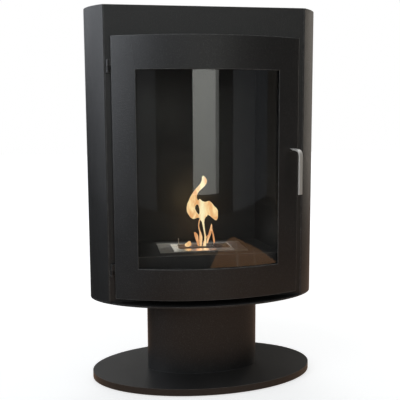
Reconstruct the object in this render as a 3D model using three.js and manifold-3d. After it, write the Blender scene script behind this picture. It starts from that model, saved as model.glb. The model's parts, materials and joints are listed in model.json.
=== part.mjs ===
// Free-standing bioethanol fireplace. An oval steel body stands on an oval column and a flat plinth. A bowed
// door with curved glass hangs in front of the body's flat front, and behind it a burner sits in the hearth.
// Millimetres. +Z is up, the front faces -Y and the viewer's right is +X. The origin is on the floor,
// under the middle of the body.

import * as THREE from "three";
import { mergeVertices } from "three/addons/utils/BufferGeometryUtils.js";
import Module from "manifold-3d";

const wasm = await Module();
wasm.setup();

// ---- Driving dimensions ----

// Clearances
const seatGap = 0.3; // between a piece and the curved or turned face that carries it
const holeClearance = 0.3; // between a fastener's shank and its hole, on the radius
const runningClearance = 0.1; // between a hinge pin and its eye, on the radius
const cutPast = 1; // how far a cutting block runs past the face that it cuts

// Plinth
const plinthHalfWidth = 308;
const plinthHalfDepth = 180;
const plinthHeight = 18.4;
const plinthSkin = 2.5;
const plinthRaise = 2.5; // the skirt clears the floor by this much
const weightThickness = 12;
const weightInset = 5; // between the skirt and the ballast plate
const glideRadius = 18;
const glideFromSide = 98.6; // from the plinth's side, and from its front or back, in to a glide's middle
const glideFromFront = 84.6;
const glideSides = 24;

// Column
const columnHalfWidth = 154.6;
const columnHalfDepth = 76;
const columnHeight = 211.6;
const columnWall = 2;
const flangeThickness = 5;
const flangeEye = 30; // half width of the opening in the middle of each flange
const boltFromSide = 49.6; // from the column's side, and from its front or back, in to a bolt's middle
const boltFromFront = 46;
const boltRadius = 4;
const boltHeadRadius = 7.5;
const boltHeadHeight = 5.3;
const boltPocketClearance = 1.5; // round a bolt's head in the ballast plate
const boltEnd = 6; // how far a bolt stands out past the flange it is screwed into
const boltSides = 16;

// Body
const bodyHalfWidth = 309;
const bodyHalfDepth = 171;
const bodyAboveDoor = 78;
const bottomPlateThickness = 4;
const casingSheet = 2;
const frontSetback = 92; // the flat front lies this far forward of the body's middle
const casingReturn = 15; // width of the casing's folded edge behind the front panel
const topPlateDrop = 4; // the top plate lies this far below the casing's top edge
const topPlateThickness = 2;
const ventCount = 15;
const ventPitch = 24;
const ventWidth = 7;
const ventLength = 110;
const ventMiddleY = 40;

// Front panel and firebox
const panelSheet = 2;
const openingBesideWindow = 21.6; // the panel's opening is wider than the door's window by this, each side
const openingAboveWindow = 15;
const hearthRise = 118.5; // from the bottom plate up to the hearth and the opening's lower edge
const linerSheet = 2;
const linerTaper = 25; // the firebox is narrower by this on each side at its back
const linerBackY = 118;
const linerAboveOpening = 20;
const baffleBackY = 70;
const supportWidth = 20;
const supportFromLiner = 15; // the floor supports end this far inside the firebox's back corners
const supportFrontY = -60; // the rear faces of the front floor support
const supportBackY = 80; // the front face of the back floor support

// Burner
const coverHalfWidth = 120;
const coverFrontY = -54;
const coverBackY = 78;
const coverThickness = 2;
const burnerTopHalfWidth = 83;
const burnerTopBackY = 50;
const burnerTopThickness = 2;
const mouthLeftX = -64;
const mouthRightX = 79;
const mouthFrontY = -22;
const mouthBackY = 45;
const collarWall = 1.5;
const liftTabX = 29;
const liftTabY = -35;
const liftTabWidth = 3.5;
const liftTabThickness = 2.5;
const liftTabHeight = 15;
const shutterThickness = 1.2;
const shutterLap = 4; // the shutter is this much larger than the mouth, front and back
const shutterShows = 3; // how much of the open shutter shows at the mouth's left end
const shutterTail = 5; // how far the closed shutter still reaches behind the mouth's left end
const shutterStop = 1; // left between the closed shutter's edge and the mouth's right end
const pullTabThickness = 1.5;
const pullTabDepth = 4;
const pullTabY = 26;
const pullTabHeight = 21; // above the burner's top
const shutterHeadroom = 0.5; // between the shutter and the hearth sheet above it
const railSheet = 1.5;
const railLip = 1;
const railLipWidth = 5;
const railTail = 4; // how far the rails reach past the parked shutter
const tankDepth = 70;
const tankWall = 1.5;
const tankFlange = 8;
const tankLap = 4; // the tank is this much longer than the mouth at each end
const fibreHeight = 46;

// Door
const doorFromFold = 18.16; // from the casing's fold in to the door's edge
const doorAbovePlate = 13.2;
const doorStandoff = 14; // from the front panel to the outer face of the door at its edges
const doorBulge = 56;
const doorSheet = 3;
const doorReturn = 9; // depth of the folded vertical edges
const doorStile = 58.9; // width of the door sheet beside the window
const windowRise = 82.3; // from the door's lower edge up to the window
const windowHeight = 503;
const doorAboveWindow = 84;
const doorEndSheet = 2; // the crescent plates that close the door above and below
const doorEndInset = 6; // from the door's upper and lower edges to those plates
const gasketThickness = 2;
const gasketWidth = 10;
const glassThickness = 4;
const glassLap = 12;
const clipWidth = 14;
const clipHeight = 24;
const clipArm = 8;
const clipArmThickness = 2;
const clipInset = 90; // from the window's upper and lower edges to the clips
const clipScrewRadius = 2;
const clipScrewHeadRadius = 4;
const clipScrewHeadHeight = 2.5;
const clipScrewSides = 12;

// Handle
const handleFromEdge = 18.9; // from the door's edge in to the handle's middle
const handleRise = 382.3; // above the door's lower edge
const handleWidth = 10.4;
const handleThickness = 5.6;
const handleReach = 34.5; // from the door's outer face to the middle of the grip
const handleBend = 15; // bend radius at the middle of the bar
const handleDrop = 115.5; // from the middle of the arm down to the grip's lower end
const backplateWidth = 30;
const backplateHeight = 40;
const backplateThickness = 3;

// Hinges
const hingeFromDoorEnd = 74; // from the door's upper or lower edge to the middle of the nearer hinge
const hingeHeight = 32;
const hingePinFromDoor = 7.7; // from the door's edge out to the pin
const hingePinFromFace = 5; // from the door's outer face at its edge back to the pin
const hingePinRadius = 2.5;
const hingeBarrelRadius = 4;
const hingeEyeHeight = 14;
const hingeLugThickness = 4;
const hingeFootWidth = 13;
const hingeFootSheet = 2;
const hingeSides = 24;

// Catch
const catchBelowPlate = 20; // from the handle's backplate down to the catch
const catchHeight = 46;
const catchWidth = 14;
const catchDepth = 8;
const catchFromEdge = 13.3; // from the door's edge in to the catch's middle
const catchAirGap = 0.5;
const strikeThickness = 2;
const strikeWidth = 23;

// Steps round the curves
const ovalSteps = 120;
const casingSteps = 100;
const columnSteps = 72;
const doorSteps = 44;

// ---- Levels and places worked out from them ----

// How far out an oval's edge is at the depth y.
function ovalEdge(halfWidth, halfDepth, y) {
  return halfWidth * Math.sqrt(1 - (y / halfDepth) ** 2);
}

const plinthTop = plinthRaise + plinthHeight;
const weightTop = plinthTop - plinthSkin;
const weightBottom = weightTop - weightThickness;
const bottomPlateZ = plinthTop + columnHeight;
const bodyZ = bottomPlateZ + bottomPlateThickness;
const doorZ = bodyZ + doorAbovePlate;
const windowZ = doorZ + windowRise;
const windowTop = windowZ + windowHeight;
const doorTop = windowTop + doorAboveWindow;
const bodyTop = doorTop + bodyAboveDoor;

const frontY = -frontSetback;
const panelBackY = frontY + panelSheet;
const foldX = ovalEdge(bodyHalfWidth, bodyHalfDepth, frontY);
const doorHalfWidth = foldX - doorFromFold;
const windowHalfWidth = doorHalfWidth - doorStile;
const openingHalfWidth = windowHalfWidth + openingBesideWindow;
const openingTop = windowTop + openingAboveWindow;
const hearthZ = bodyZ + hearthRise;
const floorUnderside = hearthZ - linerSheet;
const linerTop = openingTop + linerAboveOpening;

const coverTop = hearthZ + coverThickness;
const burnerTopZ = coverTop + burnerTopThickness;
const shutterTop = floorUnderside - shutterHeadroom;
const shutterZ = shutterTop - shutterThickness;
const railTop = floorUnderside;
const railLipTop = shutterZ - seatGap;
const railBottom = railLipTop - railLip;
const shutterFrontY = mouthFrontY - shutterLap;
const shutterBackY = mouthBackY + shutterLap;
const shutterRightX = mouthLeftX + shutterShows;
const shutterTravel = mouthRightX - shutterStop - shutterRightX;
const shutterLeftX = mouthLeftX - shutterTail - shutterTravel;

const doorEdgeY = frontY - doorStandoff;
const doorRadius = (doorHalfWidth ** 2 + doorBulge ** 2) / (2 * doorBulge);
const doorCentreY = doorEdgeY - doorBulge + doorRadius;
const skinInner = doorRadius - doorSheet;
const gasketOuter = skinInner - seatGap;
const gasketInner = gasketOuter - gasketThickness;
const glassOuter = gasketInner - seatGap;
const glassInner = glassOuter - glassThickness;

const pinX = -doorHalfWidth - hingePinFromDoor;
const pinY = doorEdgeY + hingePinFromFace;

// ---- Helpers ----

// A closed geometry as a solid that can be joined or cut.
function toSolid(geometry) {
  const bare = geometry.clone();
  bare.deleteAttribute("normal");
  bare.deleteAttribute("uv");
  const merged = mergeVertices(bare, 1e-4);
  return new wasm.Manifold(
    new wasm.Mesh({
      numProp: 3,
      vertProperties: merged.attributes.position.array,
      triVerts: new Uint32Array(merged.index.array),
    }),
  );
}

function toGeometry(solid) {
  const mesh = solid.getMesh();
  const geometry = new THREE.BufferGeometry();
  geometry.setAttribute("position", new THREE.BufferAttribute(mesh.vertProperties, 3));
  geometry.setIndex(new THREE.BufferAttribute(mesh.triVerts, 1));
  const flat = geometry.toNonIndexed();
  flat.computeVertexNormals();
  return flat;
}

function cut(geometry, ...tools) {
  const solid = tools.reduce((left, tool) => left.subtract(toSolid(tool)), toSolid(geometry));
  return toGeometry(solid);
}

function join(...pieces) {
  return toGeometry(pieces.map(toSolid).reduce((whole, piece) => whole.add(piece)));
}

// An upright prism on a plan outline. `steps` is the number of steps along each curve of the outline.
function prism(shape, lowZ, highZ, steps = 8) {
  const settings = { depth: highZ - lowZ, bevelEnabled: false, curveSegments: steps / 2 };
  return new THREE.ExtrudeGeometry(shape, settings).translate(0, 0, lowZ);
}

function block(lowX, highX, lowY, highY, lowZ, highZ) {
  const box = new THREE.BoxGeometry(highX - lowX, highY - lowY, highZ - lowZ);
  return box.translate((lowX + highX) / 2, (lowY + highY) / 2, (lowZ + highZ) / 2);
}

function uprightRod(x, y, radius, lowZ, highZ, sides) {
  const rod = new THREE.CylinderGeometry(radius, radius, highZ - lowZ, sides).rotateX(Math.PI / 2);
  return rod.translate(x, y, (lowZ + highZ) / 2);
}

function oval(halfWidth, halfDepth) {
  const shape = new THREE.Shape();
  shape.absellipse(0, 0, halfWidth, halfDepth, 0, 2 * Math.PI, false, 0);
  return shape;
}

function polygon(points) {
  return new THREE.Shape(points.map(([x, y]) => new THREE.Vector2(x, y)));
}

// A bowed band on the door's centre, with its ends on radii, between two heights.
function bowedBand(outerRadius, innerRadius, halfWidth, lowZ, highZ) {
  const reach = Math.asin(halfWidth / outerRadius);
  const middle = -Math.PI / 2;
  const shape = new THREE.Shape();
  shape.absarc(0, doorCentreY, outerRadius, middle - reach, middle + reach, false);
  shape.absarc(0, doorCentreY, innerRadius, middle + reach, middle - reach, true);
  return prism(shape, lowZ, highZ, doorSteps);
}

// Swings a piece made at the door's middle round the centre of the door's curve.
function swing(geometry, angle) {
  return geometry.translate(0, -doorCentreY, 0).rotateZ(angle).translate(0, doorCentreY, 0);
}

const fireplace = new THREE.Group();

function add(name, geometry, look) {
  const mesh = new THREE.Mesh(geometry, new THREE.MeshStandardMaterial(look));
  mesh.name = name;
  fireplace.add(mesh);
}

// ---- Looks ----

const powderCoat = { color: 0x2e2d2c, roughness: 0.5, metalness: 0.1 };
const blackSheet = { color: 0x191918, roughness: 0.7, metalness: 0.1 };
const stainless = { color: 0xb7b2a8, roughness: 0.3, metalness: 1 };
const dullSteel = { color: 0x5f5e58, roughness: 0.45, metalness: 0.9 };
const zincSteel = { color: 0x8d9092, roughness: 0.4, metalness: 1 };
const blackPlastic = { color: 0x1b1b1b, roughness: 0.6, metalness: 0 };
const ceramicFibre = { color: 0xe6e0d3, roughness: 1, metalness: 0 };
const smokedGlass = { color: 0x202427, roughness: 0.05, metalness: 0, transparent: true, opacity: 0.35 };

// ---- Plinth ----

const boltPlaces = [];
for (const sideY of [-1, 1]) {
  for (const sideX of [-1, 1]) {
    const outX = columnHalfWidth - boltFromSide;
    const outY = columnHalfDepth - boltFromFront;
    boltPlaces.push([sideX * outX, sideY * outY]);
  }
}

function boltHoles(lowZ, highZ) {
  const radius = boltRadius + holeClearance;
  return boltPlaces.map(([x, y]) => uprightRod(x, y, radius, lowZ, highZ, boltSides));
}

function plinthShell() {
  const outside = prism(oval(plinthHalfWidth, plinthHalfDepth), plinthRaise, plinthTop, ovalSteps);
  const innerWidth = plinthHalfWidth - plinthSkin;
  const innerDepth = plinthHalfDepth - plinthSkin;
  const hollow = prism(oval(innerWidth, innerDepth), 0, weightTop, ovalSteps);
  return cut(outside, hollow, ...boltHoles(weightBottom, plinthTop + cutPast));
}

function plinthWeight() {
  const halfWidth = plinthHalfWidth - plinthSkin - weightInset;
  const halfDepth = plinthHalfDepth - plinthSkin - weightInset;
  const plate = prism(oval(halfWidth, halfDepth), weightBottom, weightTop, ovalSteps);
  const pocketRadius = boltHeadRadius + boltPocketClearance;
  const pocketTop = weightBottom + boltHeadHeight;
  const pockets = boltPlaces.map(([x, y]) =>
    uprightRod(x, y, pocketRadius, weightBottom - cutPast, pocketTop, boltSides),
  );
  return cut(plate, ...pockets, ...boltHoles(weightBottom - cutPast, weightTop + cutPast));
}

add("plinth_shell", plinthShell(), powderCoat);
add("plinth_weight", plinthWeight(), dullSteel);

for (const [depthName, sideY] of [["front", -1], ["back", 1]]) {
  for (const [widthName, sideX] of [["left", -1], ["right", 1]]) {
    const x = sideX * (plinthHalfWidth - glideFromSide);
    const y = sideY * (plinthHalfDepth - glideFromFront);
    const glide = uprightRod(x, y, glideRadius, 0, weightBottom, glideSides);
    add(`glide_${depthName}_${widthName}`, glide, blackPlastic);
  }
}

// ---- Column ----

function columnTube() {
  const outline = oval(columnHalfWidth, columnHalfDepth);
  outline.holes.push(oval(columnHalfWidth - columnWall, columnHalfDepth - columnWall));
  return prism(outline, plinthTop, bottomPlateZ, columnSteps);
}

function columnFlange(lowZ) {
  const halfWidth = columnHalfWidth - columnWall - seatGap;
  const halfDepth = columnHalfDepth - columnWall - seatGap;
  const outline = oval(halfWidth, halfDepth);
  outline.holes.push(oval(flangeEye, flangeEye * (halfDepth / halfWidth)));
  const highZ = lowZ + flangeThickness;
  const plate = prism(outline, lowZ, highZ, columnSteps);
  return cut(plate, ...boltHoles(lowZ - cutPast, highZ + cutPast));
}

// A hexagon bolt. Its head lies between headLow and headHigh and its shank runs on to shankEnd.
function bolt(x, y, headLow, headHigh, shankEnd) {
  const head = uprightRod(x, y, boltHeadRadius, headLow, headHigh, 6);
  const headMiddle = (headLow + headHigh) / 2;
  const lowZ = Math.min(headMiddle, shankEnd);
  const highZ = Math.max(headMiddle, shankEnd);
  return join(head, uprightRod(x, y, boltRadius, lowZ, highZ, boltSides));
}

add("column_tube", columnTube(), powderCoat);
add("column_foot_flange", columnFlange(plinthTop), dullSteel);
add("column_head_flange", columnFlange(bottomPlateZ - flangeThickness), dullSteel);

boltPlaces.forEach(([x, y], index) => {
  const footEnd = plinthTop + flangeThickness + boltEnd;
  const foot = bolt(x, y, weightBottom, weightBottom + boltHeadHeight, footEnd);
  add(`column_foot_bolt_${index + 1}`, foot, zincSteel);
  const headEnd = bottomPlateZ - flangeThickness - boltEnd;
  const head = bolt(x, y, bodyZ, bodyZ + boltHeadHeight, headEnd);
  add(`column_head_bolt_${index + 1}`, head, zincSteel);
});

// ---- Body ----

function bottomPlate() {
  const plate = prism(oval(bodyHalfWidth, bodyHalfDepth), bottomPlateZ, bodyZ, ovalSteps);
  return cut(plate, ...boltHoles(bottomPlateZ - cutPast, bodyZ + cutPast));
}

// One sheet from fold to fold round the sides and back, with its edges folded in behind the front panel.
function casingWrap() {
  const innerWidth = bodyHalfWidth - casingSheet;
  const innerDepth = bodyHalfDepth - casingSheet;
  const foldBackY = panelBackY + casingSheet;
  const edgeIn = ovalEdge(innerWidth, innerDepth, frontY);
  const panelIn = ovalEdge(innerWidth, innerDepth, panelBackY);
  const returnIn = panelIn - casingReturn;
  const outerStart = Math.asin(frontY / bodyHalfDepth);
  const innerStart = Math.asin(foldBackY / innerDepth);
  const shape = new THREE.Shape();
  shape.absellipse(0, 0, bodyHalfWidth, bodyHalfDepth, outerStart, Math.PI - outerStart, false, 0);
  shape.lineTo(-edgeIn, frontY);
  shape.lineTo(-panelIn, panelBackY);
  shape.lineTo(-returnIn, panelBackY);
  shape.lineTo(-returnIn, foldBackY);
  shape.absellipse(0, 0, innerWidth, innerDepth, Math.PI - innerStart, innerStart, true, 0);
  shape.lineTo(returnIn, foldBackY);
  shape.lineTo(returnIn, panelBackY);
  shape.lineTo(panelIn, panelBackY);
  shape.lineTo(edgeIn, frontY);
  return prism(shape, bodyZ, bodyTop, casingSteps);
}

function frontPanel() {
  const edgeIn = ovalEdge(bodyHalfWidth - casingSheet, bodyHalfDepth - casingSheet, frontY);
  const halfWidth = edgeIn - seatGap;
  const sheet = block(-halfWidth, halfWidth, frontY, panelBackY, bodyZ, bodyTop);
  const half = openingHalfWidth;
  return cut(sheet, block(-half, half, frontY - cutPast, panelBackY + cutPast, hearthZ, openingTop));
}

function ventSlot(x) {
  const radius = ventWidth / 2;
  const straight = ventLength / 2 - radius;
  const slot = new THREE.Shape();
  slot.absarc(x, ventMiddleY + straight, radius, 0, Math.PI, false);
  slot.absarc(x, ventMiddleY - straight, radius, Math.PI, 2 * Math.PI, false);
  return slot;
}

// The vented plate that closes the body's top, set a little below the casing's edge.
function topPlate() {
  const halfWidth = bodyHalfWidth - casingSheet - seatGap;
  const halfDepth = bodyHalfDepth - casingSheet - seatGap;
  const plateFront = panelBackY + casingSheet + seatGap;
  const start = Math.asin(plateFront / halfDepth);
  const outline = new THREE.Shape();
  outline.absellipse(0, 0, halfWidth, halfDepth, start, Math.PI - start, false, 0);
  const plateTop = bodyTop - topPlateDrop;
  const plateLow = plateTop - topPlateThickness;
  const plate = prism(outline, plateLow, plateTop, casingSteps);
  const slots = [];
  for (let index = 0; index < ventCount; index += 1) {
    const x = (index - (ventCount - 1) / 2) * ventPitch;
    slots.push(prism(ventSlot(x), plateLow - cutPast, plateTop + cutPast));
  }
  return cut(plate, ...slots);
}

add("bottom_plate", bottomPlate(), powderCoat);
add("casing_wrap", casingWrap(), powderCoat);
add("front_panel", frontPanel(), powderCoat);
add("top_plate", topPlate(), powderCoat);

// ---- Firebox ----

// Half width of the firebox's inner face at the depth y.
function linerHalfWidth(y) {
  const share = (y - panelBackY) / (linerBackY - panelBackY);
  return openingHalfWidth + seatGap - share * linerTaper;
}

// A flat sheet with the firebox's plan, from the front panel back to backY.
function linerSheetAt(lowZ, backY) {
  const front = linerHalfWidth(panelBackY) + linerSheet;
  const back = linerHalfWidth(backY) + linerSheet;
  const corners = [[-front, panelBackY], [front, panelBackY], [back, backY], [-back, backY]];
  return prism(polygon(corners), lowZ, lowZ + linerSheet);
}

function fireboxSide(side) {
  const front = linerHalfWidth(panelBackY);
  const back = linerHalfWidth(linerBackY);
  const corners = [
    [front, panelBackY],
    [front + linerSheet, panelBackY],
    [back + linerSheet, linerBackY],
    [back, linerBackY],
  ];
  const placed = corners.map(([x, y]) => [side * x, y]);
  return prism(polygon(placed), hearthZ, linerTop);
}

function fireboxBack() {
  const half = linerHalfWidth(linerBackY) + linerSheet;
  return block(-half, half, linerBackY, linerBackY + linerSheet, hearthZ, linerTop);
}

// The hearth's sheet, with a hole for the burner's collar.
function hearthFloor() {
  const sheet = linerSheetAt(floorUnderside, linerBackY);
  return cut(sheet, mouthBlock(collarWall + seatGap, floorUnderside - cutPast, hearthZ + cutPast));
}

// A folded channel across the body that carries the hearth, open towards the back or the front.
function floorSupport(webY, flangeEndY) {
  const lowY = Math.min(webY, flangeEndY);
  const highY = Math.max(webY, flangeEndY);
  const halfLength = linerHalfWidth(linerBackY) - supportFromLiner;
  const whole = block(-halfLength, halfLength, lowY, highY, bodyZ, floorUnderside);
  const outward = Math.sign(flangeEndY - webY);
  const innerWeb = webY + outward * linerSheet;
  const past = flangeEndY + outward * cutPast;
  const half = halfLength + cutPast;
  const lowCut = Math.min(innerWeb, past);
  const highCut = Math.max(innerWeb, past);
  return cut(whole, block(-half, half, lowCut, highCut, bodyZ + linerSheet, floorUnderside - linerSheet));
}

// The burner's mouth as an upright block, grown by `margin` all round.
function mouthBlock(margin, lowZ, highZ) {
  const leftX = mouthLeftX - margin;
  const rightX = mouthRightX + margin;
  return block(leftX, rightX, mouthFrontY - margin, mouthBackY + margin, lowZ, highZ);
}

add("firebox_left", fireboxSide(-1), blackSheet);
add("firebox_right", fireboxSide(1), blackSheet);
add("firebox_back", fireboxBack(), blackSheet);
add("heat_baffle", linerSheetAt(linerTop, baffleBackY), blackSheet);
add("hearth_floor", hearthFloor(), blackSheet);
add("floor_support_front", floorSupport(supportFrontY, supportFrontY - supportWidth), blackSheet);
add("floor_support_back", floorSupport(supportBackY, supportBackY + supportWidth), blackSheet);

// ---- Burner ----

function burnerCover() {
  const plate = block(-coverHalfWidth, coverHalfWidth, coverFrontY, coverBackY, hearthZ, coverTop);
  return cut(plate, mouthBlock(collarWall + seatGap, hearthZ - cutPast, coverTop + cutPast));
}

// The stainless top with the mouth, a collar down through the hearth and two upright tabs to lift it by.
function burnerTop() {
  const half = burnerTopHalfWidth;
  const sheet = block(-half, half, coverFrontY, burnerTopBackY, coverTop, burnerTopZ);
  const collar = mouthBlock(collarWall, floorUnderside, burnerTopZ);
  const tabs = [-1, 1].map((side) => {
    const leftX = side * liftTabX - liftTabWidth / 2;
    const frontFace = liftTabY - liftTabThickness / 2;
    const backFace = frontFace + liftTabThickness;
    const tabTop = burnerTopZ + liftTabHeight;
    return block(leftX, leftX + liftTabWidth, frontFace, backFace, coverTop, tabTop);
  });
  const hollow = mouthBlock(0, floorUnderside - cutPast, burnerTopZ + cutPast);
  return cut(join(sheet, collar, ...tabs), hollow);
}

function shutter() {
  const plate = block(shutterLeftX, shutterRightX, shutterFrontY, shutterBackY, shutterZ, shutterTop);
  const tabLeft = shutterRightX - pullTabThickness;
  const tabBack = pullTabY + pullTabDepth;
  const tabTop = burnerTopZ + pullTabHeight;
  return join(plate, block(tabLeft, shutterRightX, pullTabY, tabBack, shutterZ, tabTop));
}

// A runner under the hearth, with a web beside the shutter's edge and a lip under it.
function shutterRail(edgeY, inward) {
  const leftX = shutterLeftX - railTail;
  const rightX = mouthRightX + tankLap;
  const webIn = edgeY - inward * seatGap;
  const webOut = webIn - inward * railSheet;
  const lipIn = webIn + inward * railLipWidth;
  const web = block(leftX, rightX, Math.min(webIn, webOut), Math.max(webIn, webOut), railBottom, railTop);
  const lip = block(leftX, rightX, Math.min(webOut, lipIn), Math.max(webOut, lipIn), railBottom, railLipTop);
  return join(web, lip);
}

// An open-topped tank with a flange that meets the rails.
function fuelTank() {
  const outer = mouthBlock(tankLap, railBottom - tankDepth, railBottom);
  const flange = mouthBlock(tankLap + tankFlange, railBottom - tankWall, railBottom);
  const hollowLow = railBottom - tankDepth + tankWall;
  const hollow = mouthBlock(tankLap - tankWall, hollowLow, railBottom + cutPast);
  return cut(join(outer, flange), hollow);
}

function fibreBlock() {
  const lowZ = railBottom - tankDepth + tankWall;
  return mouthBlock(tankLap - tankWall - seatGap, lowZ, lowZ + fibreHeight);
}

add("burner_cover_plate", burnerCover(), dullSteel);
add("burner_top", burnerTop(), stainless);
add("shutter", shutter(), stainless);
add("shutter_rail_front", shutterRail(shutterFrontY, 1), stainless);
add("shutter_rail_back", shutterRail(shutterBackY, -1), stainless);
add("fuel_tank", fuelTank(), stainless);
add("fibre_block", fibreBlock(), ceramicFibre);

// ---- Door ----

// The bar's section where it passes through the door, as a block at the door's middle.
function handleRoot(margin, innerRadius, outerRadius) {
  const halfWidth = handleWidth / 2 + margin;
  const middle = doorZ + handleRise;
  const halfHeight = handleThickness / 2 + margin;
  const farY = doorCentreY - outerRadius;
  const nearY = doorCentreY - innerRadius;
  return block(-halfWidth, halfWidth, farY, nearY, middle - halfHeight, middle + halfHeight);
}

const handleAngle = Math.asin((doorHalfWidth - handleFromEdge) / doorRadius);

// A bowed sheet with a straight fold down each side, a window, and a slot for the handle.
function doorSkin() {
  const reach = Math.asin(doorHalfWidth / doorRadius);
  const innerHalf = doorHalfWidth - doorSheet;
  const innerReach = Math.asin(innerHalf / skinInner);
  const returnEnd = doorEdgeY + doorReturn;
  const middle = -Math.PI / 2;
  const shape = new THREE.Shape();
  shape.absarc(0, doorCentreY, doorRadius, middle - reach, middle + reach, false);
  shape.lineTo(doorHalfWidth, returnEnd);
  shape.lineTo(innerHalf, returnEnd);
  shape.absarc(0, doorCentreY, skinInner, middle + innerReach, middle - innerReach, true);
  shape.lineTo(-innerHalf, returnEnd);
  shape.lineTo(-doorHalfWidth, returnEnd);
  const sheet = prism(shape, doorZ, doorTop, doorSteps);
  const frontmost = doorEdgeY - doorBulge - cutPast;
  const window = block(-windowHalfWidth, windowHalfWidth, frontmost, frontY, windowZ, windowTop);
  const slot = swing(handleRoot(seatGap, skinInner - cutPast, doorRadius + cutPast), handleAngle);
  return cut(sheet, window, slot);
}

// A crescent plate that closes the door above or below, level with the folded edges at the back.
function doorEnd(lowZ) {
  const outer = skinInner - seatGap;
  const halfWidth = doorHalfWidth - doorSheet - seatGap;
  const reach = Math.asin(halfWidth / outer);
  const middle = -Math.PI / 2;
  const shape = new THREE.Shape();
  shape.absarc(0, doorCentreY, outer, middle - reach, middle + reach, false);
  shape.lineTo(halfWidth, doorEdgeY + doorReturn);
  shape.lineTo(-halfWidth, doorEdgeY + doorReturn);
  return prism(shape, lowZ, lowZ + doorEndSheet, doorSteps);
}

function glassGasket() {
  const half = windowHalfWidth + gasketWidth;
  const band = bowedBand(gasketOuter, gasketInner, half, windowZ - gasketWidth, windowTop + gasketWidth);
  const frontmost = doorEdgeY - doorBulge - cutPast;
  const hole = block(-windowHalfWidth, windowHalfWidth, frontmost, frontY, windowZ, windowTop);
  return cut(band, hole);
}

function doorGlass() {
  const half = windowHalfWidth + glassLap;
  return bowedBand(glassOuter, glassInner, half, windowZ - glassLap, windowTop + glassLap);
}

const glassEdgeAngle = Math.asin((windowHalfWidth + glassLap) / glassOuter);
const clipSeatY = doorCentreY + seatGap - Math.sqrt(skinInner ** 2 - (clipWidth + seatGap) ** 2);
const clipArmFrontY = doorCentreY + seatGap - Math.sqrt(glassInner ** 2 - clipArm ** 2);
const clipArmBackY = clipArmFrontY + clipArmThickness;
const clipScrewX = seatGap + clipWidth / 2;

// A cranked clip: its foot seats on the door sheet beside the glass and its arm holds the glass's edge.
function glassClip(side, middleZ) {
  const lowZ = middleZ - clipHeight / 2;
  const highZ = middleZ + clipHeight / 2;
  const corners = [
    [seatGap, clipSeatY],
    [seatGap + clipWidth, clipSeatY],
    [seatGap + clipWidth, clipArmBackY],
    [-clipArm, clipArmBackY],
    [-clipArm, clipArmFrontY],
    [seatGap, clipArmFrontY],
  ];
  const outline = polygon(corners.map(([x, y]) => [side * x, y]));
  const holeLength = clipArmBackY - clipSeatY + 2 * cutPast;
  const holeRadius = clipScrewRadius + holeClearance;
  const hole = new THREE.CylinderGeometry(holeRadius, holeRadius, holeLength, clipScrewSides);
  hole.translate(side * clipScrewX, (clipSeatY + clipArmBackY) / 2, middleZ);
  return swing(cut(prism(outline, lowZ, highZ), hole), side * glassEdgeAngle);
}

function clipScrew(side, middleZ) {
  const profile = [
    [0, clipSeatY],
    [clipScrewRadius, clipSeatY],
    [clipScrewRadius, clipArmBackY],
    [clipScrewHeadRadius, clipArmBackY],
    [clipScrewHeadRadius, clipArmBackY + clipScrewHeadHeight],
    [0, clipArmBackY + clipScrewHeadHeight],
  ];
  const points = profile.map(([x, y]) => new THREE.Vector2(x, y));
  const screw = new THREE.LatheGeometry(points, clipScrewSides);
  return swing(screw.translate(side * clipScrewX, 0, middleZ), side * glassEdgeAngle);
}

add("door_skin", doorSkin(), powderCoat);
add("door_top_plate", doorEnd(doorTop - doorEndInset - doorEndSheet), powderCoat);
add("door_bottom_plate", doorEnd(doorZ + doorEndInset), powderCoat);
add("glass_gasket", glassGasket(), blackSheet);
add("door_glass", doorGlass(), smokedGlass);

for (const [heightName, middleZ] of [["lower", windowZ + clipInset], ["upper", windowTop - clipInset]]) {
  for (const [sideName, side] of [["left", -1], ["right", 1]]) {
    add(`glass_clip_${heightName}_${sideName}`, glassClip(side, middleZ), zincSteel);
    add(`clip_screw_${heightName}_${sideName}`, clipScrew(side, middleZ), zincSteel);
  }
}

// ---- Handle ----

const backplateFaceY =
  doorCentreY + seatGap - Math.sqrt(skinInner ** 2 - (backplateWidth / 2) ** 2);
const backplateBackY = backplateFaceY + backplateThickness;

// A flat bar that comes straight out of the door, bends down and ends square.
function handle() {
  const half = handleThickness / 2;
  const rootIn = doorCentreY - doorRadius - backplateBackY;
  const bendStart = handleReach - handleBend;
  const shape = new THREE.Shape();
  shape.moveTo(rootIn, -half);
  shape.absarc(bendStart, -handleBend, handleBend - half, Math.PI / 2, 0, true);
  shape.lineTo(handleReach - half, -handleDrop);
  shape.lineTo(handleReach + half, -handleDrop);
  shape.absarc(bendStart, -handleBend, handleBend + half, 0, Math.PI / 2, false);
  shape.lineTo(rootIn, half);
  const bar = prism(shape, -handleWidth / 2, handleWidth / 2, 16);
  // The outline's first axis becomes the way out of the door and its second axis becomes up.
  bar.rotateX(Math.PI / 2).rotateZ(-Math.PI / 2);
  bar.translate(0, doorCentreY - doorRadius, doorZ + handleRise);
  return swing(bar, handleAngle);
}

function handleBackplate() {
  const half = backplateWidth / 2;
  const middle = doorZ + handleRise;
  const lowZ = middle - backplateHeight / 2;
  const plate = block(-half, half, backplateFaceY, backplateBackY, lowZ, lowZ + backplateHeight);
  const slot = handleRoot(seatGap, skinInner - 2 * backplateThickness, doorRadius);
  return swing(cut(plate, slot), handleAngle);
}

add("handle", handle(), stainless);
add("handle_backplate", handleBackplate(), zincSteel);

// ---- Hinges ----

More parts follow.
